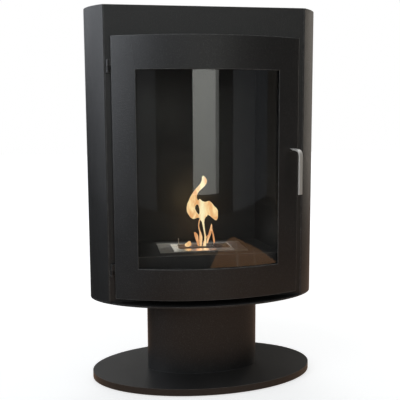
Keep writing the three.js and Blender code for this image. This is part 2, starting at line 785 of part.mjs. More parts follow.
// The bracket on the front panel: a foot plate and a lug that holds the pin's lower end.
function hingeBracket(lowZ) {
  const left = pinX - hingeFootWidth / 2;
  const footTop = lowZ + hingeHeight / 2;
  const foot = block(left, left + hingeFootWidth, frontY - hingeFootSheet, frontY, lowZ, footTop);
  const lugTop = lowZ + hingeLugThickness;
  const arm = block(
    pinX - hingeBarrelRadius,
    pinX + hingeBarrelRadius,
    pinY,
    frontY - hingeFootSheet / 2,
    lowZ,
    lugTop,
  );
  const eye = uprightRod(pinX, pinY, hingeBarrelRadius, lowZ, lugTop, hingeSides);
  const holeRadius = hingePinRadius + runningClearance;
  const hole = uprightRod(pinX, pinY, holeRadius, lowZ - cutPast, lugTop + cutPast, hingeSides);
  return cut(join(foot, arm, eye), hole);
}

// The pin, with a thick lower part that the door's eye stands on.
function hingePin(lowZ) {
  const lugTop = lowZ + hingeLugThickness;
  const eyeBottom = lowZ + hingeHeight - hingeEyeHeight;
  const thin = uprightRod(pinX, pinY, hingePinRadius, lowZ, lowZ + hingeHeight, hingeSides);
  const thick = uprightRod(pinX, pinY, hingeBarrelRadius, lugTop, eyeBottom - seatGap, hingeSides);
  return join(thin, thick);
}

// The door's eye round the pin, with a strap to the door's folded edge.
function hingeEye(lowZ) {
  const eyeTop = lowZ + hingeHeight;
  const eyeBottom = eyeTop - hingeEyeHeight;
  const barrel = uprightRod(pinX, pinY, hingeBarrelRadius, eyeBottom, eyeTop, hingeSides);
  const strapBack = pinY + hingeBarrelRadius / 2;
  const strapFront = pinY - hingeBarrelRadius / 2;
  const strap = block(pinX + hingePinRadius, -doorHalfWidth, strapFront, strapBack, eyeBottom, eyeTop);
  const holeRadius = hingePinRadius + runningClearance;
  const hole = uprightRod(pinX, pinY, holeRadius, eyeBottom - cutPast, eyeTop + cutPast, hingeSides);
  return cut(join(barrel, strap), hole);
}

const hingeMiddles = { lower: doorZ + hingeFromDoorEnd, upper: doorTop - hingeFromDoorEnd };
for (const [name, middle] of Object.entries(hingeMiddles)) {
  const lowZ = middle - hingeHeight / 2;
  add(`hinge_bracket_${name}`, hingeBracket(lowZ), powderCoat);
  add(`hinge_pin_${name}`, hingePin(lowZ), blackSheet);
  add(`hinge_eye_${name}`, hingeEye(lowZ), powderCoat);
}

// ---- Magnetic catch ----

const catchHighZ = doorZ + handleRise - backplateHeight / 2 - catchBelowPlate;
const catchLowZ = catchHighZ - catchHeight;
const catchFaceY = frontY - catchDepth;

function magnetCatch() {
  const left = doorHalfWidth - catchFromEdge - catchWidth / 2;
  return block(left, left + catchWidth, catchFaceY, frontY, catchLowZ, catchHighZ);
}

// The steel plate on the door that the magnet holds, seated on the door's folded edge.
function strikePlate() {
  const right = doorHalfWidth - doorSheet;
  const back = catchFaceY - catchAirGap;
  return block(right - strikeWidth, right, back - strikeThickness, back, catchLowZ, catchHighZ);
}

add("magnet_catch", magnetCatch(), blackPlastic);
add("strike_plate", strikePlate(), zincSteel);

export default fireplace;
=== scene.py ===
"""Bioethanol fireplace: finishes, flames, camera and studio round its solids.

Metres, +Z up, the front at -Y.
"""

import json
import math

import bpy
from mathutils import Matrix, Vector

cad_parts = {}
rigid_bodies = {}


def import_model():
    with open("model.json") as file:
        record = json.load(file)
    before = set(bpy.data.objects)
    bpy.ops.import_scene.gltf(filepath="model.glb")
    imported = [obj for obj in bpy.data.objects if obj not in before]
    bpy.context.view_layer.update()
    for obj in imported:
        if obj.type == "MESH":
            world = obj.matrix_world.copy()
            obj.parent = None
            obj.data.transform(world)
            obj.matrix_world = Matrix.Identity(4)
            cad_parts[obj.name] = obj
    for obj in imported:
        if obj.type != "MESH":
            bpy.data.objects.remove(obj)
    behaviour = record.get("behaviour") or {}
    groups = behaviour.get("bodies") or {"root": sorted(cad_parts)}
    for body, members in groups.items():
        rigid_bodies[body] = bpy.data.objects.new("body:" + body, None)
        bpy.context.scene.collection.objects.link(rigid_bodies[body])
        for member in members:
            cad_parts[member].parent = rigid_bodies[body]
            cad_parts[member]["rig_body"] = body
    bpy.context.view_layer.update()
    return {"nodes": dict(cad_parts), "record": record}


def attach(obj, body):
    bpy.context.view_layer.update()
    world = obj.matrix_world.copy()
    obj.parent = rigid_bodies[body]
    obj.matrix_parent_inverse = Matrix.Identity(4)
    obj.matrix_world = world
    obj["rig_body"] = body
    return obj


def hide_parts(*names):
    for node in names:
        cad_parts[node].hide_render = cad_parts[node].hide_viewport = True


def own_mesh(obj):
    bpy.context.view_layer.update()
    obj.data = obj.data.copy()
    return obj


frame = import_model()

MM = 0.001


# ---- Camera ----

CAMERA_PLACE = Vector((-0.26503, -1.74988, 0.70978))
# The angles are in radians.
CAMERA_TURN = 0.14810  # to the right of straight back
CAMERA_TILT = 0.12335  # downwards
CAMERA_ROLL = -0.00511
FOCAL_LENGTH = 57.88
SENSOR_WIDTH = 36


def add_camera():
    """The camera that sees the stove as the photograph shows it."""
    ahead = Vector(
        (
            math.sin(CAMERA_TURN) * math.cos(CAMERA_TILT),
            math.cos(CAMERA_TURN) * math.cos(CAMERA_TILT),
            -math.sin(CAMERA_TILT),
        )
    )
    level_right = Vector((math.cos(CAMERA_TURN), -math.sin(CAMERA_TURN), 0))
    level_up = level_right.cross(ahead)
    right = level_right * math.cos(CAMERA_ROLL) + level_up * math.sin(CAMERA_ROLL)
    up = level_up * math.cos(CAMERA_ROLL) - level_right * math.sin(CAMERA_ROLL)
    data = bpy.data.cameras.new("Photograph angle")
    data.lens = FOCAL_LENGTH
    data.sensor_width = SENSOR_WIDTH
    camera = bpy.data.objects.new("Photograph angle", data)
    bpy.context.scene.collection.objects.link(camera)
    turned = Matrix((right, up, -ahead)).transposed().to_4x4()
    camera.matrix_world = Matrix.Translation(CAMERA_PLACE) @ turned
    bpy.context.scene.camera = camera


add_camera()


# ---- Small helpers ----

FULL_RANGE = (0.0, 1.0)
NOISE_SPAN = (0.3, 0.7)  # nearly all noise lies between these
# Places of the colour mixer's inputs and of its output.
MIX_SHARE, MIX_FIRST, MIX_SECOND, MIX_RESULT = 0, 6, 7, 2


def choose(*objects):
    """Selects only these objects and makes the first one active."""
    bpy.ops.object.select_all(action="DESELECT")
    for item in objects:
        item.select_set(True)
    bpy.context.view_layer.objects.active = objects[0]


def feed(tree, socket, value):
    """Gives an input another node's output, a colour of three shares, a vector or a number."""
    if isinstance(value, bpy.types.NodeSocket):
        tree.links.new(value, socket)
    elif socket.type == "RGBA":
        socket.default_value = (*value, 1)
    else:
        socket.default_value = value


def add_node(tree, kind, inputs=None, **settings):
    """A shader node with its settings, and with inputs fed by name or number."""
    node = tree.nodes.new(kind)
    for name, value in settings.items():
        setattr(node, name, value)
    for key, value in (inputs or {}).items():
        feed(tree, node.inputs[key], value)
    return node


def work_out(tree, operation, first, second, clamp=False):
    """One sum on two numbers or outputs; a clamped one is held between 0 and 1."""
    node = add_node(tree, "ShaderNodeMath", {0: first, 1: second}, operation=operation, use_clamp=clamp)
    return node.outputs[0]


def mix_colours(tree, share, first, second):
    """Goes from the first colour to the second as the share goes from 0 to 1."""
    inputs = {MIX_SHARE: share, MIX_FIRST: first, MIX_SECOND: second}
    return add_node(tree, "ShaderNodeMix", inputs, data_type="RGBA").outputs[MIX_RESULT]


def mix_shaders(tree, share, first, second):
    """Goes from the first shader to the second as the share goes from 0 to 1."""
    return add_node(tree, "ShaderNodeMixShader", {0: share, 1: first, 2: second}).outputs[0]


def remap(tree, value, old_range, new_range):
    """Maps the old range onto the new one and holds the ends."""
    limits = zip(("From Min", "From Max", "To Min", "To Max"), (*old_range, *new_range))
    return add_node(tree, "ShaderNodeMapRange", {"Value": value, **dict(limits)}).outputs[0]


def object_place(tree):
    """Where a point lies on its own object, in metres."""
    return add_node(tree, "ShaderNodeTexCoord").outputs["Object"]


def one_axis(tree, vector, axis):
    """One of a vector's three parts."""
    return add_node(tree, "ShaderNodeSeparateXYZ", {0: vector}).outputs[axis]


def length_of(tree, vector):
    """How long a vector is."""
    return add_node(tree, "ShaderNodeVectorMath", {0: vector}, operation="LENGTH").outputs["Value"]


def agreement(tree, first, second):
    """How well two directions agree: 1 where they are the same."""
    node = add_node(tree, "ShaderNodeVectorMath", {0: first, 1: second}, operation="DOT_PRODUCT")
    return node.outputs["Value"]


def add_noise(tree, place, scale, detail, distortion=0.0, roughness=0.5):
    """Soft noise; the scale counts its patches in a metre."""
    inputs = {
        "Vector": place,
        "Scale": scale,
        "Detail": detail,
        "Distortion": distortion,
        "Roughness": roughness,
    }
    return add_node(tree, "ShaderNodeTexNoise", inputs).outputs["Fac"]


# ---- Shared surface effects ----

NUMBER = "NodeSocketFloat"
COLOUR = "NodeSocketColor"

# Agreement of two normals, from an untouched place to a full edge: rubbed bare, and a painted highlight.
EDGE_MASK_BESIDE_BEVEL = (0.97, 0.78)
EDGE_MASK_ON_BEVEL = (0.998, 0.965)
EDGE_NOISE = (0.42, 0.62)
LEAST_EDGE = 0.45  # where the noise spares an edge
# How much of a face looks up, from no dust to full dust.
DUSTY_SLOPE = (0.6, 1.0)
DRIFT_NOISE = (0.35, 0.7)
LEAST_DRIFT = 0.25  # between the drifts
LEAST_DUST = 0.6  # between the specks of dust
SPECK_EDGE = 0.35  # a speck fades out at this share of the distance between specks

STREAK_NOISE = (0.35, 0.65)

MOUTH_TO_ORIGIN = (-0.0075, -0.0115, -0.358)  # from the middle of the burner's mouth
HEAT_WANDER = (-0.014, 0.014)  # how far the bands of colour stray
HEAT_FADES = (0.7, 1.0)  # share of the reach
LEAST_HEAT = 0.15
# Oxide colours from the mouth outwards, each at its share of the reach: grey, blue, violet, brown, straw and
# then the steel's own.
HEAT_BANDS = (
    (0.30, (0.50, 0.46, 0.42)),
    (0.48, (0.38, 0.40, 0.48)),
    (0.60, (0.44, 0.35, 0.41)),
    (0.72, (0.52, 0.38, 0.27)),
    (0.86, (0.62, 0.53, 0.36)),
    (1.00, (0.62, 0.59, 0.54)),
)


def new_group(name, inputs, outputs):
    """An empty shader node group with number inputs and the outputs' names and kinds."""
    tree = bpy.data.node_groups.new(name, "ShaderNodeTree")
    for label, value in inputs.items():
        socket = tree.interface.new_socket(name=label, in_out="INPUT", socket_type=NUMBER)
        socket.default_value = value
    for label, kind in outputs.items():
        tree.interface.new_socket(name=label, in_out="OUTPUT", socket_type=kind)
    return tree, add_node(tree, "NodeGroupInput").outputs, add_node(tree, "NodeGroupOutput").inputs


def build_edge_wear_and_highlight():
    """Finds the edges of a piece, broken up by noise: 1 on an edge, rubbed bare and with a painted highlight.
    """
    tree, given, out = new_group("Rubbed edges", {"Width": 0.001, "Amount": 1.0}, {"Mask": NUMBER})
    surface = add_node(tree, "ShaderNodeNewGeometry").outputs
    rounded = add_node(tree, "ShaderNodeBevel", {"Radius": given["Width"]}, samples=4).outputs[0]
    beside = agreement(tree, rounded, surface["True Normal"])
    # The rounded faces of a softened edge count as well, which widens the painted highlight along it.
    on_round = agreement(tree, surface["Normal"], surface["True Normal"])
    edge = work_out(
        tree,
        "MAXIMUM",
        remap(tree, beside, EDGE_MASK_BESIDE_BEVEL, FULL_RANGE),
        remap(tree, on_round, EDGE_MASK_ON_BEVEL, FULL_RANGE),
    )
    patches = add_noise(tree, object_place(tree), scale=60, detail=5)
    broken = remap(tree, patches, EDGE_NOISE, (LEAST_EDGE, 1.0))
    worn_and_highlit = work_out(tree, "MULTIPLY", edge, broken)
    feed(tree, out["Mask"], work_out(tree, "MULTIPLY", worn_and_highlit, given["Amount"]))
    return tree


def build_settled_dust():
    """Dust that lies on faces that look up, thicker in some places."""
    tree, given, out = new_group("Settled dust", {"Amount": 1.0}, {"Mask": NUMBER})
    normal = add_node(tree, "ShaderNodeNewGeometry").outputs["Normal"]
    upward = remap(tree, one_axis(tree, normal, "Z"), DUSTY_SLOPE, FULL_RANGE)
    place = object_place(tree)
    drifts = add_noise(tree, place, scale=14, detail=8, roughness=0.65)
    drift = remap(tree, drifts, DRIFT_NOISE, (LEAST_DRIFT, 1.0))
    specks = add_node(tree, "ShaderNodeTexVoronoi", {"Vector": place, "Scale": 420}).outputs["Distance"]
    speck = remap(tree, specks, (0.0, SPECK_EDGE), (1.0, 0.0))
    powder = work_out(tree, "MULTIPLY", drift, work_out(tree, "ADD", LEAST_DUST, speck))
    lying = work_out(tree, "MULTIPLY", powder, upward)
    feed(tree, out["Mask"], work_out(tree, "MULTIPLY", lying, given["Amount"], clamp=True))
    return tree


def build_sprayed_coat():
    """The fine grain of sprayed and baked powder, and the soft patches of a surface that was wiped."""
    inputs = {"Grain": 900.0, "Patches": 5.0}
    tree, given, out = new_group("Sprayed coat", inputs, {"Height": NUMBER, "Patch": NUMBER})
    place = object_place(tree)
    feed(tree, out["Height"], add_noise(tree, place, scale=given["Grain"], detail=3))
    wiped = add_noise(tree, place, scale=given["Patches"], detail=6, distortion=0.6)
    feed(tree, out["Patch"], remap(tree, wiped, NOISE_SPAN, FULL_RANGE))
    return tree


def build_brushing():
    """Fine scratches: a low count along the axis they run in, and high ones across it."""
    counts = {"Across X": 30.0, "Across Y": 1500.0, "Across Z": 1500.0}
    tree, given, out = new_group("Brushed lines", counts, {"Height": NUMBER, "Streak": NUMBER})
    by_axis = {axis: given[label] for axis, label in enumerate(counts)}
    stretch = {0: object_place(tree), 1: add_node(tree, "ShaderNodeCombineXYZ", by_axis).outputs[0]}
    stretched = add_node(tree, "ShaderNodeVectorMath", stretch, operation="MULTIPLY").outputs[0]
    lines = add_noise(tree, stretched, scale=1, detail=2)
    feed(tree, out["Height"], lines)
    feed(tree, out["Streak"], remap(tree, lines, STREAK_NOISE, FULL_RANGE))
    return tree


def build_heat_colours():
    """Oxide colours on steel that has been hot, by the distance from the burner's mouth."""
    tree, given, out = new_group("Heat colours", {"Reach": 0.06}, {"Colour": COLOUR, "Share": NUMBER})
    place = object_place(tree)
    shift = {"Vector": place, "Location": MOUTH_TO_ORIGIN}
    from_mouth = add_node(tree, "ShaderNodeMapping", shift).outputs[0]
    wander = remap(tree, add_noise(tree, place, scale=45, detail=4), NOISE_SPAN, HEAT_WANDER)
    distance = work_out(tree, "ADD", length_of(tree, from_mouth), wander)
    step = work_out(tree, "DIVIDE", distance, given["Reach"], clamp=True)
    ramp = add_node(tree, "ShaderNodeValToRGB", {"Fac": step})
    bands = ramp.color_ramp.elements
    nearest, *middle, farthest = HEAT_BANDS
    for band, (position, colour) in zip(bands, (nearest, farthest)):
        band.position = position
        band.color = (*colour, 1)
    for position, colour in middle:
        bands.new(position).color = (*colour, 1)
    feed(tree, out["Colour"], ramp.outputs["Color"])
    feed(tree, out["Share"], remap(tree, step, HEAT_FADES, (1.0, LEAST_HEAT)))
    return tree


EDGE_WEAR_AND_HIGHLIGHT = build_edge_wear_and_highlight()
SETTLED_DUST = build_settled_dust()
SPRAYED_COAT = build_sprayed_coat()
BRUSHED_LINES = build_brushing()
HEAT_COLOURS = build_heat_colours()


def add_group(tree, group, inputs):
    """The outputs of a shared effect with its inputs fed."""
    return add_node(tree, "ShaderNodeGroup", inputs, node_tree=group).outputs


def empty_material(name):
    """A material without any nodes, and its tree."""
    material = bpy.data.materials.new(name)
    material.use_nodes = True
    material.node_tree.nodes.clear()
    return material, material.node_tree


def new_material(name):
    """A material with one principled shader joined to its output."""
    material, tree = empty_material(name)
    skin = add_node(tree, "ShaderNodeBsdfPrincipled")
    add_node(tree, "ShaderNodeOutputMaterial", {"Surface": skin.outputs[0]})
    return material, tree, skin


def add_bump(tree, skin, height, strength, distance):
    """Makes the shader's surface rise and fall with a height."""
    relief = {"Height": height, "Strength": strength, "Distance": distance}
    feed(tree, skin.inputs["Normal"], add_node(tree, "ShaderNodeBump", relief).outputs[0])


# ---- Painted finishes ----

PAINT_PATCHES = 5.0
PAINT_EDGE_WIDTH = 1.6 * MM
SPECK_HEIGHTS = (0.52, 0.68)  # only the highest grains of the coat are paler
DUST_COLOUR = (0.22, 0.20, 0.18)
DUST_DULLS = 0.5  # how much full dust adds to the roughness


def make_painted(
    name,
    colour,
    wiped_colour,
    bare_and_highlight_colour,
    roughness,
    grain,
    bump,
    wear_and_highlight,
    dust,
    specks=0.0,
    speck_colour=(0.06, 0.06, 0.06),
):
    """Powder coat or heat-resistant paint on sheet steel, with or without paler specks."""
    material, tree, skin = new_material(name)
    coat = add_group(tree, SPRAYED_COAT, {"Grain": grain, "Patches": PAINT_PATCHES})
    edges = add_group(tree, EDGE_WEAR_AND_HIGHLIGHT, {"Width": PAINT_EDGE_WIDTH, "Amount": wear_and_highlight})
    powder = add_group(tree, SETTLED_DUST, {"Amount": dust})
    base = mix_colours(tree, coat["Patch"], colour, wiped_colour)
    grains = remap(tree, coat["Height"], SPECK_HEIGHTS, (0.0, specks))
    speckled = mix_colours(tree, grains, base, speck_colour)
    # Edges take the bare colour: rubbed paint, and on the powder coat a painted highlight where edges catch
    # light.
    worn_and_highlit = mix_colours(tree, edges["Mask"], speckled, bare_and_highlight_colour)
    feed(tree, skin.inputs["Base Color"], mix_colours(tree, powder["Mask"], worn_and_highlit, DUST_COLOUR))
    rough = remap(tree, coat["Patch"], FULL_RANGE, roughness)
    dull = work_out(tree, "MULTIPLY", powder["Mask"], DUST_DULLS)
    feed(tree, skin.inputs["Roughness"], work_out(tree, "ADD", rough, dull, clamp=True))
    feed(tree, skin.inputs["Specular IOR Level"], 0.5)
    add_bump(tree, skin, coat["Height"], *bump)
    return material


powder_coat = make_painted(
    "Anthracite powder coat",
    colour=(0.0100, 0.0097, 0.0094),
    wiped_colour=(0.0150, 0.0146, 0.0142),
    # Its pale edge colour is mostly a painted highlight along the edges, partly rubbed paint.
    bare_and_highlight_colour=(0.36, 0.35, 0.33),
    roughness=(0.37, 0.45),
    grain=380.0,
    bump=(0.65, 0.0010),
    wear_and_highlight=0.6,
    dust=0.06,
    specks=0.27,
    speck_colour=(0.075, 0.072, 0.069),
)
firebox_paint = make_painted(
    "Matt black stove paint",
    colour=(0.0048, 0.0046, 0.0045),
    wiped_colour=(0.0075, 0.0072, 0.0069),
    bare_and_highlight_colour=(0.06, 0.055, 0.05),
    roughness=(0.42, 0.55),
    grain=500.0,
    bump=(0.25, 0.0005),
    wear_and_highlight=0.25,
    dust=0.05,
)
hearth_paint = make_painted(
    "Burnt black hearth paint",
    colour=(0.0048, 0.0046, 0.0045),
    wiped_colour=(0.0075, 0.0072, 0.0069),
    bare_and_highlight_colour=(0.06, 0.055, 0.05),
    roughness=(0.66, 0.78),
    grain=500.0,
    bump=(0.25, 0.0005),
    wear_and_highlight=0.25,
    dust=0.05,
)
black_plastic = make_painted(
    "Black moulded plastic",
    colour=(0.012, 0.012, 0.012),
    wiped_colour=(0.018, 0.018, 0.018),
    bare_and_highlight_colour=(0.05, 0.05, 0.05),
    roughness=(0.5, 0.62),
    grain=1400.0,
    bump=(0.3, 0.0003),
    wear_and_highlight=0.5,
    dust=0.1,
)


# ---- Bare metals ----

STAIN_GRAIN = 300.0
STAIN_PATCHES = 28.0
METAL_EDGE_WIDTH = 0.6 * MM
EDGE_SHINE = 1.25  # how much brighter a metal's edges are: rubbed bare, and a painted highlight
STAINS_DULL = 0.10  # how much a full stain adds to the roughness


def make_metal(
    name,
    colour,
    second_colour,
    roughness,
    brushing,
    bump,
    wear_and_highlight,
    heat=0.0,
    reach=0.1,
    spots=0.3,
    bare=1.0,
):
    """Brushed or plated metal, with stains and, near the fire, heat colours."""
    material, tree, skin = new_material(name)
    lines = add_group(tree, BRUSHED_LINES, dict(zip(("Across X", "Across Y", "Across Z"), brushing)))
    stains = add_group(tree, SPRAYED_COAT, {"Grain": STAIN_GRAIN, "Patches": STAIN_PATCHES})
    edges = add_group(tree, EDGE_WEAR_AND_HIGHLIGHT, {"Width": METAL_EDGE_WIDTH, "Amount": wear_and_highlight})
    base = mix_colours(tree, work_out(tree, "MULTIPLY", stains["Patch"], spots), colour, second_colour)
    if heat:
        tints = add_group(tree, HEAT_COLOURS, {"Reach": reach})
        base = mix_colours(tree, work_out(tree, "MULTIPLY", tints["Share"], heat), base, tints["Colour"])
    # Edges are paler: rubbed metal and a painted highlight.
    shiny = tuple(min(1.0, channel * EDGE_SHINE) for channel in colour)
    feed(tree, skin.inputs["Base Color"], mix_colours(tree, edges["Mask"], base, shiny))
    streaky = remap(tree, lines["Streak"], FULL_RANGE, roughness)
    dull = work_out(tree, "MULTIPLY", stains["Patch"], STAINS_DULL)
    feed(tree, skin.inputs["Roughness"], work_out(tree, "ADD", streaky, dull, clamp=True))
    feed(tree, skin.inputs["Metallic"], bare)
    add_bump(tree, skin, lines["Height"], *bump)
    return material


burner_stainless = make_metal(
    "Burner stainless steel",
    colour=(0.60, 0.57, 0.53),
    second_colour=(0.42, 0.39, 0.36),
    roughness=(0.20, 0.30),
    brushing=(25.0, 1600.0, 1600.0),
    bump=(0.18, 0.0002),
    wear_and_highlight=0.5,
    heat=0.6,
    reach=0.095,
)
handle_stainless = make_metal(
    "Satin stainless handle",
    colour=(0.90, 0.87, 0.81),
    second_colour=(0.82, 0.79, 0.73),
    roughness=(0.32, 0.40),
    brushing=(1700.0, 1700.0, 30.0),
    bump=(0.15, 0.0002),
    wear_and_highlight=0.3,
    spots=0.5,
    bare=0.65,
)
dull_steel = make_metal(
    "Heat-dulled steel",
    colour=(0.24, 0.24, 0.222),
    second_colour=(0.15, 0.15, 0.14),
    roughness=(0.42, 0.55),
    brushing=(40.0, 900.0, 900.0),
    bump=(0.3, 0.0003),
    wear_and_highlight=0.6,
    heat=0.2,
    reach=0.16,
    spots=0.8,
    bare=0.6,
)
zinc_plate = make_metal(
    "Zinc plating",
    colour=(0.52, 0.53, 0.55),
    second_colour=(0.36, 0.37, 0.36),
    roughness=(0.34, 0.48),
    brushing=(600.0, 600.0, 600.0),
    bump=(0.2, 0.0002),
    wear_and_highlight=0.6,
    spots=0.8,
)


# ---- Fibre, braided tape, glass ----

WOOL = (0.62, 0.58, 0.52)
PALE_WOOL = (0.82, 0.79, 0.73)
SCORCHED_WOOL = (0.22, 0.15, 0.10)
SCORCH_NOISE = (0.55, 0.75)
MOST_SCORCH = 0.6
BRAID_GAP = (0.006, 0.006, 0.006)
BRAID_STRAND = (0.035, 0.034, 0.032)
BRAID_SLANT = math.radians(45)
CLEAN_GLASS = (0.93, 0.93, 0.91)
WIPED_GLASS = (0.89, 0.89, 0.87)
WIPE_NOISE = (0.35, 0.75)
WIPE_ROUGHNESS = 0.03
WIPE_STRETCH = (9, 9, 3)  # the wipe marks are longer upwards
WIPE_TILT = (0, 0.4, 0)
SHADOW_TINT = (0.85, 0.85, 0.84)  # light that the glass lets through


def make_fibre():
    """Pressed white ceramic wool: matted hairs and a few scorched places."""
    material, tree, skin = new_material("Ceramic wool")
    place = object_place(tree)
    hairs = add_noise(tree, place, scale=380, detail=8, distortion=2.5)
    scorch = add_noise(tree, place, scale=30, detail=5)
    matted = mix_colours(tree, hairs, WOOL, PALE_WOOL)
    burnt = remap(tree, scorch, SCORCH_NOISE, (0.0, MOST_SCORCH))
    feed(tree, skin.inputs["Base Color"], mix_colours(tree, burnt, matted, SCORCHED_WOOL))
    feed(tree, skin.inputs["Roughness"], remap(tree, hairs, NOISE_SPAN, (0.85, 1.0)))
    add_bump(tree, skin, hairs, 0.7, 1.0 * MM)
    return material


def make_braid():
    """Braided glass-fibre tape: two sets of strands that cross aslant."""
    material, tree, skin = new_material("Braided tape")
    place = object_place(tree)
    sets = []
    for slant in (BRAID_SLANT, -BRAID_SLANT):
        turn = {"Vector": place, "Rotation": (0, slant, 0)}
        turned = add_node(tree, "ShaderNodeMapping", turn).outputs[0]
        strands = {"Vector": turned, "Scale": 160, "Distortion": 0.6}
        sets.append(add_node(tree, "ShaderNodeTexWave", strands, bands_direction="X").outputs["Fac"])
    crossed = work_out(tree, "MAXIMUM", *sets)
    feed(tree, skin.inputs["Base Color"], mix_colours(tree, crossed, BRAID_GAP, BRAID_STRAND))
    feed(tree, skin.inputs["Roughness"], remap(tree, crossed, FULL_RANGE, (0.95, 0.75)))
    add_bump(tree, skin, crossed, 0.6, 0.6 * MM)
    return material


def make_glass():
    """Clear ceramic glass with faint wipe marks. It lets lamplight straight through."""
    material, tree, skin = new_material("Ceramic glass")
    stretch = {"Vector": object_place(tree), "Scale": WIPE_STRETCH, "Rotation": WIPE_TILT}
    stretched = add_node(tree, "ShaderNodeMapping", stretch).outputs[0]
    marks = add_noise(tree, stretched, scale=1.2, detail=5)
    feed(tree, skin.inputs["Roughness"], remap(tree, marks, WIPE_NOISE, (0.0, WIPE_ROUGHNESS)))
    feed(tree, skin.inputs["Base Color"], mix_colours(tree, marks, CLEAN_GLASS, WIPED_GLASS))
    feed(tree, skin.inputs["Metallic"], 0.0)
    feed(tree, skin.inputs["IOR"], 1.5)
    feed(tree, skin.inputs["Transmission Weight"], 1.0)
    clear = add_node(tree, "ShaderNodeBsdfTransparent", {"Color": SHADOW_TINT}).outputs[0]
    shadow_ray = add_node(tree, "ShaderNodeLightPath").outputs["Is Shadow Ray"]
    out = next(node for node in tree.nodes if node.type == "OUTPUT_MATERIAL")
    feed(tree, out.inputs["Surface"], mix_shaders(tree, shadow_ray, skin.outputs[0], clear))
    return material


ceramic_wool = make_fibre()
braided_tape = make_braid()
ceramic_glass = make_glass()


# ---- What each piece is made of ----

FINISH_OF_SLOT = {
    "powder_coat": powder_coat,
    "black_sheet": firebox_paint,
    "stainless": burner_stainless,
    "dull_steel": dull_steel,
    "zinc": zinc_plate,
    "black_plastic": black_plastic,
    "fibre": ceramic_wool,
    "gasket": braided_tape,
    "glass": ceramic_glass,
}
# The handle is brushed along its length and never heated; the hearth's paint is dulled by the fire.
OWN_FINISH = {"handle": handle_stainless, "hearth_floor": hearth_paint}

slot_of = {part["node"]: part["material_slot"] for part in frame["record"]["subparts"]}
finish_of = {node: OWN_FINISH.get(node, FINISH_OF_SLOT[slot]) for node, slot in slot_of.items()}

for node, piece in frame["nodes"].items():
    piece.data.materials.clear()
    piece.data.materials.append(finish_of[node])


# ---- Pieces with softened edges and smooth bends ----

# Width of the softened edge on each piece, in millimetres.
SOFTENED = {
    "plinth_shell": 0.9,
    "column_tube": 0.4,
    "bottom_plate": 0.6,
    "casing_wrap": 0.5,
    "front_panel": 0.4,
    "top_plate": 0.3,
    "door_skin": 1.2,
    "door_top_plate": 0.4,
    "door_bottom_plate": 0.4,
    "door_glass": 0.5,
    "glass_gasket": 0.4,
    "handle": 1.1,
    "handle_backplate": 0.6,
    "hinge_bracket_lower": 0.4,
    "hinge_bracket_upper": 0.4,
    "hinge_eye_lower": 0.4,
    "hinge_eye_upper": 0.4,
    "hinge_pin_lower": 0.3,
    "hinge_pin_upper": 0.3,
    "burner_cover_plate": 0.4,
    "burner_top": 0.4,
    "shutter": 0.25,
    "fuel_tank": 0.3,
    "glide_front_left": 1.2,
    "glide_front_right": 1.2,
    "glide_back_left": 1.2,
    "glide_back_right": 1.2,
}
EDGE_TURN = math.radians(38)  # an edge that turns by more than this is softened
SMOOTH_TURN = math.radians(40)  # a turn up to this shades as a curve
FLAT_TURN = math.radians(0.2)  # faces that turn by less than this are one flat face
WELD_DISTANCE = 0.00001
EDGE_STEPS = 2
FLAT_WEIGHT = 50


def soften(node_name, width):
    """A merged copy of a solid with narrow rounded edges, which stands for it."""
    node = frame["nodes"][node_name]
    piece = bpy.data.objects.new(node_name + "_finished", node.data.copy())
    bpy.context.scene.collection.objects.link(piece)
    choose(piece)
    bpy.ops.mesh.customdata_custom_splitnormals_clear()
    bpy.ops.object.mode_set(mode="EDIT")
    bpy.ops.mesh.select_all(action="SELECT")
    bpy.ops.mesh.remove_doubles(threshold=WELD_DISTANCE)
    bpy.ops.mesh.dissolve_limited(angle_limit=FLAT_TURN)
    bpy.ops.object.mode_set(mode="OBJECT")
    edge = piece.modifiers.new("Softened edges", "BEVEL")
    edge.width = width * MM
    edge.segments = EDGE_STEPS
    edge.limit_method = "ANGLE"
    edge.angle_limit = EDGE_TURN
    edge.use_clamp_overlap = True
    bpy.ops.object.modifier_apply(modifier=edge.name)
    bpy.ops.object.shade_smooth_by_angle(angle=SMOOTH_TURN)
    flats = piece.modifiers.new("Flat faces stay flat", "WEIGHTED_NORMAL")
    flats.mode = "FACE_AREA"
    flats.weight = FLAT_WEIGHT
    flats.keep_sharp = True
    bpy.ops.object.modifier_apply(modifier=flats.name)
    piece.data.materials.clear()
    piece.data.materials.append(finish_of[node_name])
    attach(piece, node["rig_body"])
    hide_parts(node_name)


for node_name, width in SOFTENED.items():
    soften(node_name, width)


# ---- Flames ----

FLAME_Y = 12  # depth of the flames, in millimetres, over the middle of the burner's mouth
FLAME_SIDES = 16
FLAME_FLAT = 0.6  # depth of a tongue against its width
MELT_SIZE = 0.9 * MM
EASE_SHARE = 0.5
EASE_ROUNDS = 4

FLAME_LOOK = 1.15  # strength of the glow to the eye
FLAME_LIGHT = 2.2  # what it gains as a lamp
FLAME_CORE_X = 0.003  # the hottest part stands over this line
FLAME_CORE_REACH = (0.003, 0.011)  # distance from that line, from hottest to no hotter than the rest
CORE_SHARE = 0.9
EDGE_SHARE = 0.85
WISP_NOISE = (0.43, 0.62)
WISP_STRETCH = (42, 20, 24)  # how many wisps to a metre along X, Y and Z
# How far a face turns from the eye: where the bright edge starts and ends, and the orange rim outside it.
BRIGHT_EDGE = (0.50, 0.74)
ORANGE_RIM = (0.80, 0.97)
FADED_OUT = 0.98  # and where nothing is left to see


